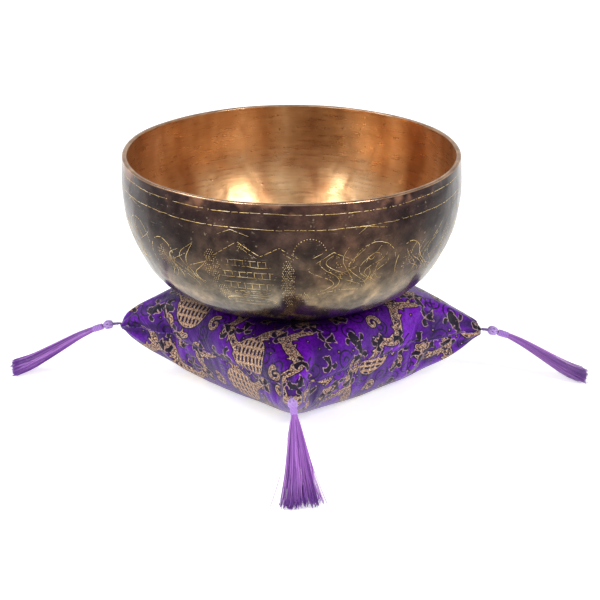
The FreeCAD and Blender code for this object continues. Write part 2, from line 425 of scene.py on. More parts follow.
def evenly(line, steps):
    """The outline again with points at equal distances along it."""
    length = np.concatenate([[0], np.cumsum(np.linalg.norm(np.diff(line, axis=0), axis=1))])
    at = np.linspace(0, length[-1], steps)
    return np.stack([np.interp(at, length, line[:, 0]), np.interp(at, length, line[:, 1])], 1)


def hammered(points, normals, spacing, depth, seed):
    """Moves the surface in by shallow round dimples that meet at soft ridges, and says how
    deep each point went."""
    rng = np.random.RandomState(seed)
    count = len(points)
    wanted = int(1.5 * 0.115 / spacing ** 2)
    centres = points[rng.choice(count, wanted, replace=False)]
    tree = KDTree(wanted)
    for k, centre in enumerate(centres):
        tree.insert(centre, k)
    tree.balance()
    force = rng.uniform(0.35, 1.0, wanted)
    dent = np.zeros(count)
    for k, point in enumerate(points):
        _, near, gap = tree.find(point)
        dent[k] = force[near] * max(0.0, 1 - (gap / (0.8 * spacing)) ** 2)
    return points - normals * (depth * dent)[:, None], dent


def bowl_grid():
    """The bowl's surface as rings of points, foot centre to rim to inner centre, with how
    far each is inside, on the rim, and up the wall."""
    inner, outer = bowl_profile()
    outside = evenly(outer, OUTER_STEPS)
    inside = evenly(inner, INNER_STEPS)[::-1]
    middle = (outside[-1, 0] + inside[0, 0]) / 2
    half = (outside[-1, 0] - inside[0, 0]) / 2
    lift = RIM_Z - outside[-1, 1]
    turn = np.linspace(0, math.pi, RIM_STEPS + 2)[1:-1]
    bend = 0.75
    edge = np.stack([middle + half * np.sign(np.cos(turn)) * np.abs(np.cos(turn)) ** bend,
                     outside[-1, 1] + lift * np.sin(turn) ** bend], 1)
    outline = np.concatenate([outside, edge, inside])
    angle = np.arange(ROUND) * TURN / ROUND
    up = np.clip((outline[:, 1] - FOOT_Z) / BOWL_HEIGHT, 0, 1)
    sway = sum(size * MM * np.cos(lobes * angle + phase) for lobes, size, phase in WOBBLE)
    radius = outline[:, 0, None] + sway * up[:, None] ** 2
    dip = sum(0.35 * size * MM * np.sin((lobes + 1) * angle + phase) for lobes, size, phase in WOBBLE)
    high = outline[:, 1, None] + dip * up[:, None] ** 4
    grid = np.stack([BOWL_AXIS.x + radius * np.cos(angle), BOWL_AXIS.y + radius * np.sin(angle),
                     high], -1)
    step = np.gradient(grid, axis=0)
    round_step = np.roll(grid, -1, 1) - np.roll(grid, 1, 1)
    normal = unit(np.cross(round_step, step))
    dents = np.zeros(grid.shape[:2])
    for rows, spacing, depth, seed in ((slice(0, OUTER_STEPS), HAMMER_SPACING, HAMMER_DEPTH, 5),
                                       (slice(-INNER_STEPS, None), 1.7 * HAMMER_SPACING,
                                        1.4 * HAMMER_DEPTH, 9)):
        part = grid[rows]
        moved, dent = hammered(part.reshape(-1, 3), normal[rows].reshape(-1, 3), spacing, depth,
                               seed)
        grid[rows] = moved.reshape(part.shape)
        dents[rows] = dent.reshape(part.shape[:2])
    zone = np.zeros(len(outline))
    zone[OUTER_STEPS + RIM_STEPS // 2:] = 1
    rim = np.zeros(len(outline))
    rim[OUTER_STEPS:OUTER_STEPS + RIM_STEPS] = 1
    return grid, normal, zone, rim, up, dents


def build_bowl():
    grid, normal, zone, rim, up, dents = bowl_grid()
    rows = len(grid)
    faces = []
    for i in range(rows - 1):
        for j in range(ROUND):
            k = (j + 1) % ROUND
            faces.append((i * ROUND + j, i * ROUND + k, (i + 1) * ROUND + k, (i + 1) * ROUND + j))
    faces.append(tuple(reversed(range(ROUND))))
    faces.append(tuple((rows - 1) * ROUND + j for j in range(ROUND)))
    bowl = mesh_object("bowl_shell", grid.reshape(-1, 3), faces, LOOKS["bronze"])
    for name, values in (("inside", zone), ("rim", rim), ("height", up)):
        add_attribute(bowl, name, np.repeat(values, ROUND))
    add_attribute(bowl, "dent", dents)
    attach(bowl, "bowl")
    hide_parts("bowl")
    return grid, normal


BOWL_GRID, BOWL_NORMAL = build_bowl()


# ---- engraving ----------------------------------------------------------------------------
LINE_WIDTH = 0.80 * MM
LINE_PROUD = 0.07 * MM
WALL_RADIUS = 125.0          # millimetres, for distances round the wall


def on_wall(across, below):
    """Points and outward normals on the bowl's outside: millimetres round it from the front,
    to the right, and millimetres below the rim."""
    angle = (np.asarray(across, float) / WALL_RADIUS - math.pi / 2) % TURN
    column = angle / TURN * ROUND
    left = np.floor(column).astype(int) % ROUND
    right = (left + 1) % ROUND
    share = (column - np.floor(column))[:, None]
    ring_z = BOWL_GRID[:OUTER_STEPS, :, 2].mean(1)
    row = np.interp(RIM_Z - np.asarray(below, float) * MM, ring_z, np.arange(OUTER_STEPS))
    low = np.clip(np.floor(row).astype(int), 0, OUTER_STEPS - 2)
    rise = (row - low)[:, None]

    def blend(grid):
        lower = grid[low, left] * (1 - share) + grid[low, right] * share
        upper = grid[low + 1, left] * (1 - share) + grid[low + 1, right] * share
        return lower * (1 - rise) + upper * rise
    return blend(BOWL_GRID), unit(blend(BOWL_NORMAL))


class Engraver:
    """Collects the scratched lines and punched dots of the whole band."""

    def __init__(self):
        self.rng = np.random.RandomState(21)
        self.points = []
        self.faces = []

    def line(self, path, width=1.0, broken=0.12, wander=0.25):
        """A hand-cut line: it wanders a little, and here and there the cut skips."""
        path = np.asarray(path, float)
        lengths = np.linalg.norm(np.diff(path, axis=0), axis=1)
        total = np.concatenate([[0], np.cumsum(lengths)])
        steps = max(3, int(total[-1] / 1.1))
        at = np.linspace(0, total[-1], steps)
        x = np.interp(at, total, path[:, 0])
        y = np.interp(at, total, path[:, 1])
        drift = np.cumsum(self.rng.normal(0, wander * 0.35, (2, steps)), axis=1)
        drift -= np.linspace(0, 1, steps) * drift[:, -1:]
        drift = np.clip(drift, -wander * 2, wander * 2)
        middle, normal = on_wall(x + drift[0], y + drift[1])
        along = unit(np.gradient(middle, axis=0))
        side = np.cross(normal, along)
        thick = LINE_WIDTH * width * (0.55 + 0.45 * np.sin(np.linspace(0, math.pi, steps)))
        thick = (thick * self.rng.uniform(0.75, 1.15, steps))[:, None]
        cut = self.rng.uniform(0, 1, steps - 1) > broken
        base = len(self.points) * 0 + sum(len(p) for p in self.points)
        self.points.append(np.stack([middle - side * thick / 2 - normal * LINE_PROUD,
                                     middle + normal * LINE_PROUD,
                                     middle + side * thick / 2 - normal * LINE_PROUD],
                                    1).reshape(-1, 3))
        for i in np.nonzero(cut)[0]:
            a = base + 3 * int(i)
            self.faces += [(a + 3, a + 4, a + 1, a), (a + 4, a + 5, a + 2, a + 1),
                           (a, a + 2, a + 5, a + 3)]
            if i == 0 or not cut[i - 1]:
                self.faces.append((a, a + 1, a + 2))
            if i == steps - 2 or not cut[i + 1]:
                self.faces.append((a + 5, a + 4, a + 3))

    def dots(self, across, below, size=1.05):
        """Punch marks."""
        across = np.asarray(across, float)
        if not len(across):
            return
        middle, normal = on_wall(across, below)
        right = unit(np.cross(normal, [0, 0, 1.0]))
        up = np.cross(right, normal)
        sides = 5
        angle = np.arange(sides) * TURN / sides
        radius = size * MM / 2 * self.rng.uniform(0.6, 1.2, len(across))[:, None, None]
        ring = (right[:, None] * np.cos(angle)[:, None] + up[:, None] * np.sin(angle)[:, None])
        rim = middle[:, None] + ring * radius - (normal * 0.04 * MM)[:, None]
        base = sum(len(p) for p in self.points)
        top = (middle + normal * LINE_PROUD)[:, None]
        self.points.append(np.concatenate([rim, top], 1).reshape(-1, 3))
        for k in range(len(across)):
            a = base + k * (sides + 1)
            self.faces += [(a + (j + 1) % sides, a + j, a + sides) for j in range(sides)]
            self.faces.append(tuple(a + j for j in range(sides)))

    def stipple(self, x, y, wide, tall, pitch=1.7, keep=0.85):
        """A round bush or cloud filled with punch marks."""
        columns = np.arange(-wide / 2, wide / 2, pitch)
        rows = np.arange(-tall / 2, tall / 2, pitch)
        dx, dy = np.meshgrid(columns, rows)
        dx = dx + (np.arange(len(rows)) % 2)[:, None] * pitch / 2
        dx = dx.ravel() + self.rng.normal(0, 0.16, dx.size)
        dy = dy.ravel() + self.rng.normal(0, 0.16, dy.size)
        kept = (2 * dx / wide) ** 2 + (2 * dy / tall) ** 2 < self.rng.uniform(0.7, 1.05, dx.size)
        kept &= self.rng.uniform(0, 1, dx.size) < keep
        self.dots(x + dx[kept], y + dy[kept])

    def arc(self, x, y, wide, tall, start, end, **more):
        turn = np.radians(np.linspace(start, end, 24))
        self.line(np.stack([x + wide * np.cos(turn), y - tall * np.sin(turn)], 1), **more)

    def dotted_arc(self, x, y, radius, start, end, pitch=2.0):
        count = int(math.radians(abs(end - start)) * radius / pitch)
        turn = np.radians(np.linspace(start, end, count))
        self.dots(x + radius * np.cos(turn), y - radius * np.sin(turn), 1.35)

    def bars(self, x, y, wide, rows, gap):
        """Stacked level lines joined at their ends, with small uprights between."""
        for k in range(rows):
            shrink = 1.5 * abs(k - rows / 2)
            half = wide / 2 - shrink
            self.line([(x - half, y + k * gap), (x + half, y + k * gap)], 0.8, 0.22)
            if k % 2:
                for post in np.arange(-half + 3, half - 2, 5.5):
                    self.line([(x + post, y + (k - 1) * gap), (x + post, y + k * gap)], 0.7, 0.05)

    def long_oval(self, x, y, wide, tall):
        self.arc(x, y, wide / 2, tall / 2, 0, 360, width=0.8, broken=0.2)
        self.line([(x - wide * 0.36, y), (x + wide * 0.36, y)], 0.6, 0.3)


def waves(engraver, x, y, wide, tall, seed):
    """A loose sheaf of curved strokes, all bending the same way."""
    rng = np.random.RandomState(seed)
    for k in range(9):
        start = x - wide / 2 + wide * k / 8 + rng.uniform(-2, 2)
        low = y + tall / 2 - rng.uniform(0, 6)
        t = np.linspace(0, 1, 14)
        lean = rng.uniform(4, 11)
        engraver.line(np.stack([start + lean * np.sin(1.6 * math.pi * t + 0.4 * k),
                                low - t * tall * rng.uniform(0.45, 0.95)], 1), 0.75, 0.15)


def hills(engraver, x, y, peaks):
    """A ridge line: (step across, height) for each peak, with a spur down one side."""
    path = [(x, y)]
    for step, tall in peaks:
        path.append((path[-1][0] + step / 2, y - tall))
        path.append((path[-1][0] + step / 2, y - tall * 0.15))
    engraver.line(path, 0.9, 0.2)
    for (ax, ay), (bx, by) in zip(path[1::2], path[2::2]):
        engraver.line([(ax + 1.5, ay + 3.5), (bx - 3.0, by + 1.0)], 0.6, 0.4)


def scroll_curls(engraver, x, y, size):
    """Nested open curls, as in a wave or a leaf scroll."""
    for k, (dx, dy, turn) in enumerate(((0, 0, 20), (7, 5, 130), (-7, 7, 250), (3, 13, 60),
                                        (-3, -8, 180))):
        engraver.arc(x + dx * size, y + dy * size, (6.5 - k) * size, (8.5 - k) * size, turn,
                     turn + 150, width=0.8, broken=0.1)
    engraver.arc(x, y + 3, 17 * size, 19 * size, 15, 165, width=0.8, broken=0.3)


def build_engraving():
    cut = Engraver()
    whole = WALL_RADIUS * TURN
    for below, skip in ((7.2, 0.16), (18.0, 0.10)):
        pieces = 9
        for k in range(pieces):
            start = whole * k / pieces + cut.rng.uniform(-3, 3)
            end = whole * (k + 1) / pieces - cut.rng.uniform(0, 4)
            steps = np.linspace(start, end, 30)
            tilt = cut.rng.uniform(-0.7, 0.7)
            cut.line(np.stack([steps, below + tilt * (steps - start) / (end - start)], 1),
                     1.05, skip, 0.22)
    sectors = 4
    span = whole / sectors
    for k in range(sectors):
        x = k * span
        cut.line([(x - 47, 24), (x - 37, 19.5), (x - 24, 23.5)], 0.8, 0.1)
        hills(cut, x - 50, 40, [(34, 12), (26, 9)])
        cut.stipple(x - 30, 31, 10, 5, 1.5)
        cut.bars(x - 26, 42, 40, 6, 4.6)
        cut.stipple(x - 53, 50, 13, 30)
        cut.stipple(x - 46, 70, 12, 14)
        cut.stipple(x + 3, 60, 11, 44, 1.5, 0.95)
        cut.long_oval(x - 26, 76, 40, 6)
        cut.long_oval(x - 24, 69, 30, 4)
        cut.dotted_arc(x + 18, 36, 11.5, 15, 175)
        cut.line([(x + 27, 35), (x + 20, 39)], 0.7, 0.1)
        hills(cut, x + 22, 43, [(26, 8)])
        cut.stipple(x + 40, 50, 22, 14, 2.0, 0.6)
        cut.stipple(x + 14, 72, 14, 9, 1.6, 0.8)
        cut.line([(x + 52, 23), (x + 58, 18.6), (x + 74, 21.5)], 0.8, 0.1)
        scroll_curls(cut, x + 66, 48, 1.05)
        cut.line([(x + 24, 70), (x + 40, 66), (x + 58, 68)], 0.6, 0.4)
        waves(cut, x + 50, 50, 46, 34, 40 + k)
        waves(cut, x + 118, 52, 34, 34, 60 + k)
        cut.arc(x + 97, 52, 12, 15, -40, 210, broken=0.3)
        cut.stipple(x + 97, 52, 12, 18, 1.9, 0.7)
    lines = mesh_object("bowl_engraving", np.concatenate(cut.points), cut.faces,
                        LOOKS["engraving"])
    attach(lines, "bowl")


build_engraving()


# ---- cushion ------------------------------------------------------------------------------
SHEET = 65                   # simulated vertices along each side of a cover
FINE = 4                     # finer by this much once it is at rest
FLAT_REACH = 152 * MM        # middle to corner of the flat, cut cloth
FILL_VOLUME = 1.90e-3        # cubic metres of stuffing
STEPS = 150
ROUNDS = 7
BEND = 0.10                  # how firmly the cloth stays flat across a fold
COVER = 0.8 * MM
FLOOR_GAP = 0.4 * MM
BOWL_GAP = 0.9 * MM
SEAM_HOLD = 0.15             # how firmly the stuffing holds the seam at its height
TIP_SLOPE = 0.6              # how sharply the cloth draws in to each corner's tip
CROWN = 1.2                  # how much fuller the stuffing is towards the middle
BOTTOM_PUSH = 0.2            # how hard the stuffing presses down, against up
SEAM_SAG = 1 * MM            # how much lower the seam lies halfway along a side


EDGES = ((0, slice(None)), (-1, slice(None)), (slice(None), 0), (slice(None), -1))


def cloth_grid(count):
    """Flat places of a cover's points, with its corners on the axes."""
    steps = np.linspace(-1, 1, count)
    u, v = np.meshgrid(steps, steps, indexing="ij")
    half = FLAT_REACH / 2
    return u, v, np.stack([(u - v) * half, (u + v) * half], -1)


def under_bowl():
    """Height of the bowl's underside against the distance from its axis."""
    ring = BOWL_GRID[:OUTER_STEPS]
    away = np.linalg.norm(ring[..., :2] - np.array(BOWL_AXIS), axis=-1).mean(1)
    widest = int(np.argmax(away))
    return away[:widest], ring[:widest, :, 2].mean(1)


def pull(cloth, first, second, rest, stretch, squeeze):
    """Brings pairs of points back towards their distance apart."""
    gap = cloth[second] - cloth[first]
    length = np.linalg.norm(gap, axis=-1, keepdims=True)
    off = length - rest
    move = 0.5 * np.where(off > 0, stretch, squeeze) * off / np.maximum(length, 1e-9) * gap
    cloth[first] += move
    cloth[second] -= move


def every(start, stop, step=2):
    return slice(start, stop, step)


def cloth_pairs(rest):
    """All pairs of the weave, its diagonals and its bending, in groups that share no point."""
    full = slice(None)
    groups = []
    last = SHEET - 1
    for a in (0, 1):
        one, two = every(a, last), every(a + 1, SHEET)
        groups.append(((full, one, full), (full, two, full), rest, 1.0, 0.8))
        groups.append(((full, full, one), (full, full, two), rest, 1.0, 0.8))
        for left, right in ((slice(0, -1), slice(1, None)), (slice(1, None), slice(0, -1))):
            groups.append(((full, one, left), (full, two, right), rest * math.sqrt(2), 0.35, 0.15))
    for a in range(4):
        count = (SHEET - 3 - a) // 4 + 1
        one, two = every(a, a + 4 * count, 4), every(a + 2, a + 4 * count + 2, 4)
        groups.append(((full, one, full), (full, two, full), 2 * rest, 0.0, BEND))
        groups.append(((full, full, one), (full, full, two), 2 * rest, 0.0, BEND))
    return groups


def sheet_normals(cloth):
    """Area-weighted outward normals of both covers."""
    across = np.gradient(cloth, axis=1)
    along = np.gradient(cloth, axis=2)
    normal = np.cross(across, along)
    normal[1] *= -1
    return normal


def sewn(cloth):
    """The two covers share their edge."""
    for edge in EDGES:
        cloth[(slice(None), *edge)] = cloth[(slice(None), *edge)].mean(0)


def behind_tips(cloth):
    """Keeps the cloth round each corner behind the corner's tip, where the tassel swings."""
    limit = CORNER_REACH - TIP_SLOPE * np.abs(cloth[..., [1, 0]])
    cloth[..., :2] = np.clip(cloth[..., :2], -limit, limit)


def pillow():
    """Two flat squares sewn round their edge, stuffed, pressed by the bowl from above and
    standing on the table: a position-based cloth simulation."""
    u, v, flat = cloth_grid(SHEET)
    swell = (1 - u ** 2) * (1 - v ** 2)
    cloth = np.zeros((2, SHEET, SHEET, 3))
    cloth[..., :2] = flat
    cloth[0, ..., 2] = SEAM_Z - SEAM_TILT * flat[..., 1] + 4 * MM * swell
    cloth[1, ..., 2] = SEAM_Z - SEAM_TILT * flat[..., 1] - 4 * MM * swell
    rest = FLAT_REACH * math.sqrt(2) / (SHEET - 1)
    groups = cloth_pairs(rest)
    away, height = under_bowl()
    axis = np.array(BOWL_AXIS)
    lumps = (0.45 + CROWN * swell + 0.30 * np.sin(5.1 * u + 1.0) * np.sin(4.3 * v + 2.0)
             + 0.18 * np.sin(11.0 * u * v + 3.0) + 0.12 * np.sin(13.0 * (u - v)))
    corner_at = {(0, 0): (0, -CORNER_REACH), (-1, -1): (0, CORNER_REACH),
                 (-1, 0): (CORNER_REACH, 0), (0, -1): (-CORNER_REACH, 0)}
    firm = np.array([1.0, BOTTOM_PUSH])[:, None, None]
    sag = SEAM_SAG * (1 - np.linspace(-1, 1, SHEET) ** 2)
    before = cloth.copy()
    for step in range(STEPS):
        share = min(1.0, (step + 1) / (0.45 * STEPS))
        moved = cloth + 0.90 * (cloth - before)
        before = cloth
        cloth = moved
        cloth[..., 2] -= 0.02 * MM
        wanted = FILL_VOLUME * share
        for _ in range(ROUNDS):
            normal = sheet_normals(cloth)
            volume = float((cloth * normal).sum()) / 3
            area = float(np.linalg.norm(normal, axis=-1).sum())
            push = np.clip((wanted - volume) / area, -0.4 * MM, 0.8 * MM)
            cloth += unit(normal) * (0.5 * push * lumps * firm)[..., None]
            for first, second, length, stretch, squeeze in groups:
                pull(cloth, first, second, length, stretch, squeeze)
            for (i, j), (x, y) in corner_at.items():
                goal = np.array([x, y, SEAM_Z - SEAM_TILT * y])
                cloth[:, i, j] += 0.35 * share * (goal - cloth[:, i, j])
            sewn(cloth)
            for edge in EDGES:
                line = cloth[(slice(None), *edge)]
                seam = SEAM_Z - SEAM_TILT * line[..., 1]
                line[..., 2] += SEAM_HOLD * (seam - sag - line[..., 2])
            room = np.linalg.norm(cloth[..., :2] - axis, axis=-1)
            ceiling = np.interp(room, away, height, right=1.0) - BOWL_GAP
            cloth[..., 2] = np.clip(cloth[..., 2], FLOOR_GAP, ceiling)
    for (i, j), (x, y) in corner_at.items():
        cloth[:, i, j] = (x, y, SEAM_Z - SEAM_TILT * y)
    behind_tips(cloth)
    return cloth


def finer(grid, times):
    """Catmull-Rom points between the grid's own, along its first two axes."""
    for _ in range(2):
        padded = np.concatenate([2 * grid[:1] - grid[1:2], grid, 2 * grid[-1:] - grid[-2:-1]])
        p0, p1, p2, p3 = padded[:-3], padded[1:-2], padded[2:-1], padded[3:]
        between = []
        for k in range(times):
            t = k / times
            between.append(0.5 * (2 * p1 + (p2 - p0) * t + (2 * p0 - 5 * p1 + 4 * p2 - p3) * t ** 2
                                  + (3 * p1 - p0 - 3 * p2 + p3) * t ** 3))
        dense = np.stack(between, 1).reshape(-1, *grid.shape[1:])
        grid = np.concatenate([dense, grid[-1:]]).swapaxes(0, 1)
    return grid


def creases(count):
    """How far the cloth stands out in the pleats at the corners and the puckers at the seam."""
    u, v, flat = cloth_grid(count)
    x, y = flat[..., 0] / MM, flat[..., 1] / MM
    reach = FLAT_REACH / MM
    rise = np.zeros(u.shape)
    for k, (cx, cy) in enumerate(((0, -reach), (reach, 0), (0, reach), (-reach, 0))):
        far = np.hypot(x - cx, y - cy)
        angle = np.arctan2(y - cy, x - cx)
        bend = angle * (10 + 2 * (k % 2)) + 0.9 * np.sin(far / 17 + 2 * k)
        rise += 1.5 * np.sin(bend) * np.exp(-far / 45) * np.clip(far / 20, 0, 1)
    edge = (1 - np.maximum(np.abs(u), np.abs(v))) * reach / math.sqrt(2)
    run = np.where(np.abs(u) > np.abs(v), v, u) * reach / math.sqrt(2)
    rise += 0.60 * np.sin(run / 2.3 + 1.3 * np.sin(run / 13)) * np.exp(-edge / 7)
    rise += 0.8 * np.sin((x + 0.4 * y) / 7.5 + 2.2 * np.sin(y / 23)) * np.exp(-edge / 38)
    return np.clip(0.5 + rise, -0.3, 2.0) * np.clip(edge / 4, 0, 1) * MM


def segment_distance(x, y, path, widths):
    """Distance in millimetres from each point to the edge of a band along a path."""
    best = np.full(x.shape, 1e3)
    for (ax, ay), (bx, by), wa, wb in zip(path, path[1:], widths, widths[1:]):
        dx, dy = bx - ax, by - ay
        t = np.clip(((x - ax) * dx + (y - ay) * dy) / (dx * dx + dy * dy + 1e-9), 0, 1)
        gap = np.hypot(x - ax - t * dx, y - ay - t * dy) - (wa + (wb - wa) * t)
        best = np.minimum(best, gap)
    return best


def turned(points, angle, x, y):
    c, s = math.cos(angle), math.sin(angle)
    return [(x + c * a - s * b, y + s * a + c * b) for a, b in points]


def band_points(length, sway, waves, count=26):
    t = np.linspace(-1, 1, count)
    return list(zip(length / 2 * t, sway * np.sin(waves * math.pi * t)))


def curl_points(radius, turns, count=18):
    t = np.linspace(0, 1, count)
    angle = turns * TURN * t
    reach = radius * (1 - 0.82 * t)
    return list(zip(reach * np.cos(angle) - radius, reach * np.sin(angle)))


REPEAT = ((118.0, 0.0), (41.0, -66.0))
FIRST = (-79.0, -33.0)
# figures within one repeat: place from its first medallion, then what each needs
MEDALLIONS = [((0, 0), 15.5)]
BANDS = [((52, -56), -32, 62, 9, 1.25), ((37, -12), 72, 50, 8, 1.2), ((84, -22), 20, 44, 8, 1.1)]
CURLS = [((22, -20), 40, 6), ((78, -46), 200, 6), ((46, 26), 120, 5.5), ((94, -2), -60, 6),
         ((30, -62), -100, 5), ((-14, -26), 150, 6), ((64, -34), 10, 5)]
LEAVES = [((24, 6), 30, 11), ((28, -38), 100, 10), ((60, 6), 60, 12), ((70, -10), 160, 10),
          ((-24, 14), 250, 11), ((-22, -8), 200, 11), ((88, -46), 330, 12), ((56, -32), 20, 10),
          ((0, 24), 75, 11), ((10, -44), 200, 10), ((98, -26), 130, 11), ((18, -50), 300, 10),
          ((34, 20), 330, 10), ((78, 18), 10, 9), ((44, -20), 240, 9), ((-10, -32), 20, 9)]
SCROLLS = [((24, -8), 0, 8), ((50, -14), 140, 9), ((84, 8), 60, 8), ((64, -44), 220, 8),
           ((-24, -20), 300, 7), ((12, 30), 30, 8), ((56, 24), 180, 7), ((100, -40), 90, 8),
           ((38, 6), 250, 7), ((70, -28), 90, 7), ((-2, -24), 180, 7), ((92, -6), 200, 6),
           ((30, -26), 330, 6), ((74, 30), 120, 7), ((46, -48), 40, 6), ((-14, 28), 270, 6)]
DOT_COUNT = 26


class Weave:
    """How far each point of a cover is from the figures woven into it, in millimetres."""

    def __init__(self, flat):
        self.x, self.y = flat[:, 0] / MM, flat[:, 1] / MM
        self.gap = {name: np.full(len(flat), 9.0) for name in ("gold", "leaf", "scroll")}
        self.scaly = np.zeros(len(flat))

    def band(self, kind, path, widths, scaly=1.0):
        path = np.asarray(path, float)
        reach = max(widths) + 2.5
        low, high = path.min(0) - reach, path.max(0) + reach
        near = np.nonzero((self.x > low[0]) & (self.x < high[0]) &
                          (self.y > low[1]) & (self.y < high[1]))[0]
        if len(near):
            found = segment_distance(self.x[near], self.y[near], path, widths)
            closer = found < self.gap[kind][near]
            self.gap[kind][near[closer]] = found[closer]
            if kind == "gold":
                self.scaly[near[closer]] = scaly

    def fringed(self, path, widths):
        """A band with small flames along its edge."""
        path = np.asarray(path, float)
        self.band("gold", path, widths)
        along = unit(np.gradient(path, axis=0))
        side = np.stack([-along[:, 1], along[:, 0]], 1)
        for k in range(2, len(path) - 2, 3):
            hand = 1 if k % 2 else -1
            root = path[k] + hand * side[k] * widths[k]
            tip = root + hand * side[k] * 2.6 + along[k] * 1.8
            self.band("gold", [root, tip], [1.1, 0.25])

    def leaf(self, x, y, turn, length):
        """A cluster of curled lobes from one stalk."""
        for lean, share, hand in ((-84, 0.55, -1), (-38, 0.85, 1), (8, 1.0, -1), (55, 0.80, 1),
                                  (104, 0.5, -1)):
            size = length * share
            path = turned([(size * 0.10, 0), (size * 0.38, hand * 1.5), (size * 0.72, hand * 1.9),
                           (size, -hand * 0.2)], math.radians(turn + lean), x, y)
            self.band("leaf", path, [0.4, 1.9, 1.55, 0.1])


def brocade_figures(flat):
    weave = Weave(flat)
    rng = np.random.RandomState(12)
    dots = rng.uniform(0, 1, (DOT_COUNT, 2)) @ np.array(REPEAT)
    for a in range(-3, 5):
        for b in range(-4, 5):
            cx = FIRST[0] + a * REPEAT[0][0] + b * REPEAT[1][0]
            cy = FIRST[1] + a * REPEAT[0][1] + b * REPEAT[1][1]
            if abs(cx) > 300 or abs(cy) > 260:
                continue
            for (dx, dy), radius in MEDALLIONS:
                weave.band("gold", [(cx + dx, cy + dy), (cx + dx + 0.1, cy + dy)],
                           [radius, radius], 0.0)
            for (dx, dy), turn, length, sway, waves in BANDS:
                path = turned(band_points(length, sway, waves), math.radians(turn), cx + dx, cy + dy)
                weave.fringed(path, 3.6 - 2.0 * np.abs(np.linspace(-1, 1, len(path))) ** 2)
            for (dx, dy), turn, radius in CURLS:
                path = turned(curl_points(radius, 1.1), math.radians(turn), cx + dx, cy + dy)
                weave.band("gold", path, np.linspace(1.7, 0.7, len(path)))
            for (dx, dy), turn, length in LEAVES:
                weave.leaf(cx + dx, cy + dy, turn, length)
            for (dx, dy), turn, radius in SCROLLS:
                path = turned(curl_points(radius, 1.4, 24), math.radians(turn), cx + dx, cy + dy)
                weave.band("scroll", path, [0.0] * len(path))
            for dx, dy in dots:
                weave.band("gold", [(cx + dx, cy + dy), (cx + dx + 0.1, cy + dy)], [0.55, 0.55])
    return weave.gap["gold"], weave.scaly, weave.gap["leaf"], weave.gap["scroll"]


def cover_piece(name, sheet, top):
    """One cover: the fine outer face, a coarse inner face and the edge between them."""
    _, _, flat = cloth_grid((SHEET - 1) * FINE + 1)
    fine = finer(sheet, FINE)
    rows = len(fine)
    outward = unit(np.cross(np.gradient(fine, axis=0), np.gradient(fine, axis=1)))
    stands = creases(rows)
    fine = fine + outward * (stands * (1 if top else -1))[..., None]
    behind_tips(fine)
    away, height = under_bowl()
    room = np.linalg.norm(fine[..., :2] - np.array(BOWL_AXIS), axis=-1)
    fine[..., 2] = np.clip(fine[..., 2], FLOOR_GAP, np.interp(room, away, height, right=1.0) - BOWL_GAP)
    normal = np.cross(np.gradient(sheet, axis=0), np.gradient(sheet, axis=1))
    inner = sheet - unit(normal) * (COVER if top else -COVER)
    outer_count = rows * rows
    points = np.concatenate([fine.reshape(-1, 3), inner.reshape(-1, 3)])

    def outer_at(i, j):
        return i * rows + j

    def inner_at(i, j):
        return outer_count + i * SHEET + j
    faces = [(outer_at(i, j), outer_at(i + 1, j), outer_at(i + 1, j + 1), outer_at(i, j + 1))
             for i in range(rows - 1) for j in range(rows - 1)]
    faces += [(inner_at(i, j), inner_at(i, j + 1), inner_at(i + 1, j + 1), inner_at(i + 1, j))
              for i in range(SHEET - 1) for j in range(SHEET - 1)]
    last, end = SHEET - 1, rows - 1
    for k in range(last):
        run = range(k * FINE, k * FINE + FINE + 1)
        faces.append((*[outer_at(0, s) for s in run], inner_at(0, k + 1), inner_at(0, k)))
        faces.append((*[outer_at(end, s) for s in reversed(run)],
                      inner_at(last, k), inner_at(last, k + 1)))
        faces.append((*[outer_at(s, 0) for s in reversed(run)], inner_at(k, 0),
                      inner_at(k + 1, 0)))
        faces.append((*[outer_at(s, end) for s in run], inner_at(k + 1, last),
                      inner_at(k, last)))
    if not top:
        faces = [tuple(reversed(face)) for face in faces]
    piece = mesh_object(name, points, faces, LOOKS["brocade"])
    place = flat if top else flat[::-1, ::-1] + np.array([31, 17]) * MM
    both = np.concatenate([place.reshape(-1, 2), place[::FINE, ::FINE].reshape(-1, 2)])
    add_vector(piece, "flat", np.concatenate([both, np.zeros((len(both), 1))], 1))
    for label, values in zip(("gold", "scaly", "leaf", "scroll"), brocade_figures(both)):
        add_attribute(piece, label, values)
    # How far each point stands out in the creases, for the brocade's painted shade in the valleys and
    # painted highlight on the ridges.
    fold_shade_and_highlight = np.clip(0.2 + 0.5 * stands / MM, 0, 1)
    add_attribute(piece, "fold_shade_and_highlight", np.concatenate([fold_shade_and_highlight.ravel(), fold_shade_and_highlight[::FINE, ::FINE].ravel()]))
    return piece


def filling_piece(cloth):
    """The stuffing, a little inside the covers."""
    keep = slice(3, -3)
    normal = unit(sheet_normals(cloth))
    inner = (cloth - normal * 2.6 * MM)[:, keep, keep]
    side = inner.shape[1]
    count = side * side
    points = inner.reshape(-1, 3)
    faces = []
    for i in range(side - 1):
        for j in range(side - 1):
            quad = (i * side + j, (i + 1) * side + j, (i + 1) * side + j + 1, i * side + j + 1)
            faces.append(quad)
            faces.append(tuple(count + q for q in reversed(quad)))
    edge = ([(i, 0) for i in range(side)] + [(side - 1, j) for j in range(1, side)] +
            [(i, side - 1) for i in range(side - 2, -1, -1)] + [(0, j) for j in range(side - 2, 0, -1)])
    ring = [i * side + j for i, j in edge]
    for a, b in zip(ring, ring[1:] + ring[:1]):
        faces.append((b, a, count + a, count + b))
    return mesh_object("cushion_stuffing", points, faces, LOOKS["filling"])


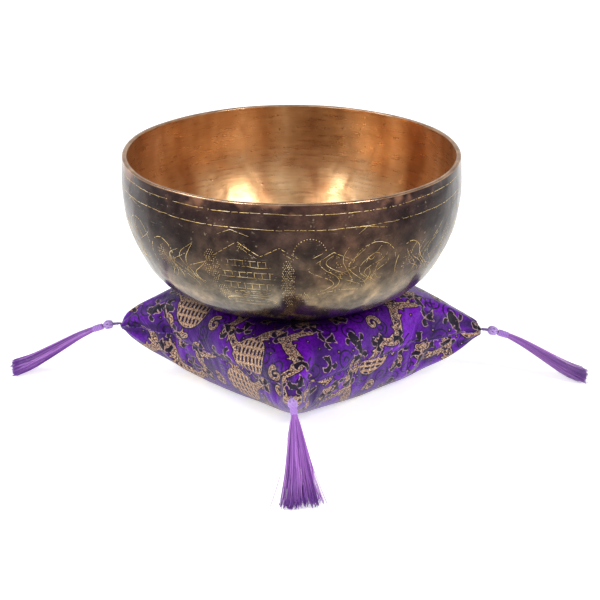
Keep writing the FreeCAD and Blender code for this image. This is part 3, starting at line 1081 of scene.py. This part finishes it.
def seam_stitches(cloth):
    """Small stitches along the edge where the covers meet."""
    edge = finer(cloth[0], FINE)
    loop = np.concatenate([edge[:-1, 0], edge[-1, :-1], edge[:0:-1, -1], edge[0, :0:-1]])
    closed = np.concatenate([loop, loop[:1]])
    length = np.concatenate([[0], np.cumsum(np.linalg.norm(np.diff(closed, axis=0), axis=1))])
    pitch, stitch = 3.1 * MM, 2.3 * MM
    count = int(length[-1] / pitch)
    starts = np.arange(count) * length[-1] / count
    at = starts[:, None] + np.linspace(0, stitch, 5)
    paths = np.stack([np.interp(at, length, closed[:, k]) for k in range(3)], -1)
    bulge = np.sin(np.linspace(0, math.pi, 5)) * 0.18 * MM
    paths = paths[np.abs(paths[:, 2, :2]).max(1) < CORNER_REACH - 5 * MM]
    outward = unit(paths[:, 2] * np.array([1, 1, 0]))
    paths = paths + outward[:, None] * bulge[None, :, None]
    points, faces = tubes(paths, 0.28 * MM, 6)
    piece = mesh_object("cushion_stitches", points, faces, LOOKS["thread"])
    rng = np.random.RandomState(4)
    add_attribute(piece, "shade", np.repeat(rng.uniform(0, 1, len(paths)), 5 * 6))
    return piece


def build_cushion():
    cloth = pillow()
    top = cover_piece("cushion_upper_cloth", cloth[0], True)
    bottom = cover_piece("cushion_lower_cloth", cloth[1], False)
    stuffing = filling_piece(cloth)
    stitches = seam_stitches(cloth)
    for piece, node, slot in ((top, "cushion_top_cover", "brocade"),
                              (bottom, "cushion_bottom_cover", "brocade"),
                              (stuffing, "cushion_filling", "filling"),
                              (stitches, "cushion_seam_thread", "thread")):
        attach(piece, "cushion")
        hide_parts(node)
    return cloth


CLOTH = build_cushion()


# ---- tassels ------------------------------------------------------------------------------
STRANDS = 420
STRAND_POINTS = 18
STRAND_RADIUS = 0.19 * MM
LOCKS = 30                   # strands cling together in locks
KNOT_RADIUS = 4.0 * MM
NECK_SLOPE = math.radians(18.0)
BINDING_START = 4.2 * MM
BINDING_LENGTH = 8.0 * MM
NECK_RADIUS = 1.9 * MM
# the skirt's middle line: distance out from the corner's pivot and height above the seam
SKIRT_LINE = [(30.0, -10.2), (42.0, -17.6), (54.0, -25.2), (64.0, -31.2), (75.5, -36.2)]
HALF_THICK = [1.9, 2.7, 3.5, 4.2, 4.6, 4.6]
FLARE = [0.0, 0.34, 0.50, 0.66, 0.82, 1.00]
# half width at the end and sideways bend there, in millimetres, and how far the strands reach
SPREAD = {"front": (13.0, -2.0, 1.0), "right": (7.5, -3.0, 1.05), "back": (9.0, 2.0, 1.02),
          "left": (9.5, 1.0, 1.08)}


def spline(points, count):
    """count points on a Catmull-Rom curve through the given ones."""
    points = np.asarray(points, float)
    padded = np.concatenate([2 * points[:1] - points[1:2], points, 2 * points[-1:] - points[-2:-1]])
    at = np.linspace(0, len(points) - 1, count)
    k = np.minimum(at.astype(int), len(points) - 2)
    t = (at - k)[:, None]
    p0, p1, p2, p3 = (padded[k + i] for i in range(4))
    return 0.5 * (2 * p1 + (p2 - p0) * t + (2 * p0 - 5 * p1 + 4 * p2 - p3) * t ** 2
                  + (3 * p1 - p0 - 3 * p2 + p3) * t ** 3)


class Tassel:
    """One tassel, in the place and direction that its joints give."""

    def __init__(self, corner, seed):
        self.corner = corner
        self.rng = np.random.RandomState(seed)
        self.pivot = np.array(JOINTS["tassel_%s_swing" % corner]["pos_m"])
        self.knot = np.array(JOINTS["tassel_%s_lift" % corner]["pos_m"])
        axis = np.array(JOINTS["tassel_%s_lift" % corner]["axis"], float)
        self.out = np.cross([0, 0, 1.0], axis)
        self.side = np.cross([0, 0, 1.0], self.out)
        self.neck = self.out * math.cos(NECK_SLOPE) - np.array([0, 0, math.sin(NECK_SLOPE)])

    def place(self, piece, part, body, slot):
        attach(piece, "tassel_%s_%s" % (self.corner, body))
        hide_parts("tassel_%s_%s" % (self.corner, part))

    def skirt(self):
        half_width, bend, length = SPREAD[self.corner]
        start = self.knot + self.neck * BINDING_START
        bound = start + self.neck * BINDING_LENGTH
        far = SKIRT_LINE[-1][0]
        middle = [start, start + self.neck * BINDING_LENGTH * 0.5, bound]
        for out, up in SKIRT_LINE:
            share = out / far
            out *= 1 + (length - 1) * share
            up *= self.pivot[2] / SEAM_Z
            middle.append(self.pivot + (self.out * out + self.side * bend * share ** 2) * MM
                          + np.array([0, 0, up]) * MM)
        line = spline(middle, STRAND_POINTS)
        share = np.linspace(0, len(middle) - 1, STRAND_POINTS)
        thick = np.interp(share, np.arange(len(middle)), [1.7, 1.7] + HALF_THICK) * MM
        wide = np.interp(share, np.arange(len(middle)), [1.7, 1.7, 1.9] + [
            max(1.9, half_width * f) for f in FLARE[1:]]) * MM
        lock = self.rng.randint(0, LOCKS, STRANDS)
        spin = self.rng.uniform(0, TURN, LOCKS)
        reach = np.sqrt(self.rng.uniform(0, 1, LOCKS))
        middles = np.stack([reach * np.cos(spin), reach * np.sin(spin)])
        a, b = middles[:, lock] + self.rng.normal(0, 0.20, (2, STRANDS))
        size = np.maximum(1.0, np.hypot(a, b))
        a, b = a / size, b / size
        grow = np.clip(np.linspace(-0.25, 1, STRAND_POINTS), 0, 1)
        along = unit(np.gradient(line, axis=0))
        upward = unit(np.cross(along, self.side))
        upward *= np.sign(upward[:, 2:])
        loose = np.where(self.rng.uniform(0, 1, STRANDS) < 0.05, 3.0, 0.7)[:, None]
        sway = (self.rng.normal(0, 1.0, (2, LOCKS, 1))[:, lock] * grow ** 1.4 * 1.0 +
                self.rng.normal(0, 1.0, (2, STRANDS, 1)) * loose * grow ** 2) * MM
        ripple = (self.rng.uniform(0.05, 0.50, (STRANDS, 1)) * MM * grow *
                  np.sin(np.linspace(0, 12, STRAND_POINTS) + self.rng.uniform(0, TURN, (STRANDS, 1))))
        paths = (line[None] + self.side * (a[:, None] * wide + sway[0] + ripple)[..., None]
                 + upward[None] * (b[:, None] * thick + 0.5 * sway[1])[..., None])
        trim = self.rng.normal(0, 1.0, STRANDS) * MM
        paths += along[None] * (trim[:, None] * grow ** 3)[..., None]
        paths[..., 2] = np.maximum(paths[..., 2], STRAND_RADIUS + 0.2 * MM)
        points, faces = tubes(paths, STRAND_RADIUS, 3)
        piece = mesh_object("tassel_%s_strands" % self.corner, points, faces, LOOKS["skirt"])
        shade = np.clip(0.52 + 0.22 * self.rng.normal(0, 1, LOCKS)[lock]
                        + 0.28 * self.rng.normal(0, 1, STRANDS), 0, 1)
        # Painted shade: each strand darkens towards its cut end.
        tip = np.linspace(0, 1, STRAND_POINTS) ** 10 * 0.7
        add_attribute(piece, "shade", np.repeat((shade[:, None] - tip).clip(0, 1), 3))
        self.place(piece, "skirt", "skirt", "skirt")

    def coil(self):
        """Thread wound tightly round the neck."""
        turns, per_turn = 15, 16
        t = np.linspace(0, 1, turns * per_turn)
        angle = turns * TURN * t
        up = np.cross(self.side, self.neck)
        radius = NECK_RADIUS + 0.28 * MM + 0.12 * MM * np.sin(math.pi * t)
        path = (self.knot + self.neck * (BINDING_START + 0.35 * MM)
                + self.neck * (t * (BINDING_LENGTH - 0.4 * MM))[:, None]
                + (self.side * np.cos(angle)[:, None] + up * np.sin(angle)[:, None]) * radius[:, None])
        points, faces = tubes(path[None], 0.30 * MM, 6)
        piece = mesh_object("tassel_%s_winding" % self.corner, points, faces, LOOKS["binding"])
        add_attribute(piece, "shade", np.repeat(0.5 + 0.4 * np.sin(angle * 0.37), 6))
        self.place(piece, "binding", "skirt", "binding")

    def ball(self):
        """A round knot: one cord crossing over and under itself on a ball, a bit fuzzy."""
        lead, bight, count = 4, 7, 420
        t = np.linspace(0, TURN, count, endpoint=False)
        up = np.cross(self.side, self.neck)
        tilt = 1.30 * np.sin(bight * t)
        weave = 1 - 0.10 * np.cos(2 * bight * t + 0.6)
        core = (KNOT_RADIUS - 0.95 * MM) * weave
        angle = lead * t
        path = (self.knot + self.neck * (core * np.sin(tilt))[:, None]
                + self.side * (core * np.cos(tilt) * np.cos(angle))[:, None]
                + up * (core * np.cos(tilt) * np.sin(angle))[:, None])
        closed = np.concatenate([path, path[:1]])
        points, faces = tubes(closed[None], 0.78 * MM, 7)
        shade = np.full(len(points), 0.75)
        hairs = 70
        root = unit(self.rng.normal(0, 1, (hairs, 3)))
        # the hairs grow on the side away from the strands, which swing past the other
        ahead = root @ self.out
        root = unit(root - self.out * (ahead + np.abs(ahead) + 0.25)[:, None])
        bend = self.rng.normal(0, 0.6, (hairs, 3))
        reach = np.linspace(0.8, 1.0, 4)[None, :, None] + np.linspace(0, 0.18, 4)[None, :, None] * \
            self.rng.uniform(0.2, 1.0, (hairs, 1, 1))
        hair = self.knot + (root[:, None] * reach + bend[:, None] * (reach - 0.8) ** 2) * KNOT_RADIUS
        more, more_faces = tubes(hair, 0.05 * MM, 3)
        faces += [tuple(len(points) + k for k in face) for face in more_faces]
        shade = np.concatenate([shade, np.ones(len(more))])
        piece = mesh_object("tassel_%s_ball" % self.corner, np.concatenate([points, more]), faces,
                            LOOKS["cord"])
        add_attribute(piece, "shade", shade)
        self.place(piece, "knot", "knot", "cord")

    def stem(self):
        """Two plies twisted together, from the corner's seam to the knot."""
        start = self.pivot - self.out * 1.5 * MM
        end = self.knot - unit(self.knot - self.pivot) * (KNOT_RADIUS - 0.9 * MM)
        t = np.linspace(0, 1, 26)
        thin = np.clip(0.55 + 2.5 * t, 0, 1)
        angle = 2.5 * TURN * t
        up = np.cross(self.side, self.out)
        plies = []
        for phase in (0, math.pi):
            plies.append(start + (end - start) * t[:, None] + 0.55 * MM * thin[:, None] * (
                self.side * np.cos(angle + phase)[:, None] + up * np.sin(angle + phase)[:, None]))
        points, faces = tubes(plies, 0.62 * MM * thin, 8)
        piece = mesh_object("tassel_%s_twist" % self.corner, points, faces, LOOKS["cord"])
        add_attribute(piece, "shade", np.full(len(points), 0.15))
        self.place(piece, "stem", "knot", "cord")

    def build(self):
        self.stem()
        self.ball()
        self.coil()
        self.skirt()


for index, corner in enumerate(CORNERS):
    Tassel(corner, 31 + index).build()


# ---- floor, light and camera --------------------------------------------------------------
CAMERA_DISTANCE = 1.25       # from the middle of the bowl's mouth
CAMERA_RISE = math.radians(17.24)
CAMERA_PITCH = math.radians(22.34)
CAMERA_TURN = math.radians(2.3)
CAMERA_ASIDE = 6.15 * MM
LENS = 100.74
SENSOR = 36.0
HORIZON = 0.95               # brightness of the surroundings at eye level and overhead
ZENITH = 0.40


def build_stage():
    size = 6.0
    floor = mesh_object("floor", [(-size, -size, 0), (size, -size, 0), (size, size, 0),
                                  (-size, size, 0)], [(0, 1, 2, 3)], stage_look())
    world = bpy.data.worlds.new("studio")
    bpy.context.scene.world = world
    world.use_nodes = True
    nodes, links = world.node_tree.nodes, world.node_tree.links
    place = nodes.new("ShaderNodeTexCoord")
    split = nodes.new("ShaderNodeSeparateXYZ")
    fade = nodes.new("ShaderNodeMapRange")
    fade.interpolation_type = "SMOOTHSTEP"
    for k, value in ((1, 0.05), (2, 0.75), (3, HORIZON), (4, ZENITH)):
        fade.inputs[k].default_value = value
    links.new(place.outputs["Generated"], split.inputs[0])
    links.new(split.outputs["Z"], fade.inputs[0])
    links.new(fade.outputs[0], nodes["Background"].inputs[1])
    nodes["Background"].inputs[0].default_value = (1.0, 1.0, 1.0, 1.0)


def soft_box(name, place, size, power):
    light = bpy.data.lights.new(name, "AREA")
    light.shape = "RECTANGLE"
    light.size, light.size_y = size
    light.energy = power
    lamp = bpy.data.objects.new(name, light)
    bpy.context.scene.collection.objects.link(lamp)
    lamp.location = place
    aim = Vector((0, 0, 0.1)) - Vector(place)
    lamp.rotation_euler = aim.to_track_quat("-Z", "Y").to_euler()


def build_camera():
    right = Vector((math.cos(CAMERA_TURN), math.sin(CAMERA_TURN), 0))
    ahead = Vector((-math.sin(CAMERA_TURN), math.cos(CAMERA_TURN), 0))
    target = Vector((*BOWL_AXIS, RIM_Z))
    data = bpy.data.cameras.new("camera")
    data.lens = LENS
    data.sensor_width = SENSOR
    camera = bpy.data.objects.new("camera", data)
    bpy.context.scene.collection.objects.link(camera)
    camera.location = (target - ahead * CAMERA_DISTANCE * math.cos(CAMERA_RISE)
                       + Vector((0, 0, CAMERA_DISTANCE * math.sin(CAMERA_RISE)))
                       + right * CAMERA_ASIDE)
    look = ahead * math.cos(CAMERA_PITCH) - Vector((0, 0, math.sin(CAMERA_PITCH)))
    camera.rotation_euler = look.to_track_quat("-Z", "Y").to_euler()
    bpy.context.scene.camera = camera


build_stage()
soft_box("left_box", (-1.0, 0.1, 1.5), (0.7, 0.9), 13.0)
soft_box("front_right_box", (1.15, -1.05, 1.35), (0.5, 0.6), 19.0)
soft_box("front_left_strip", (-0.85, -1.2, 1.35), (0.12, 0.9), 11.0)
build_camera()
bpy.context.scene.view_settings.view_transform = "Standard"
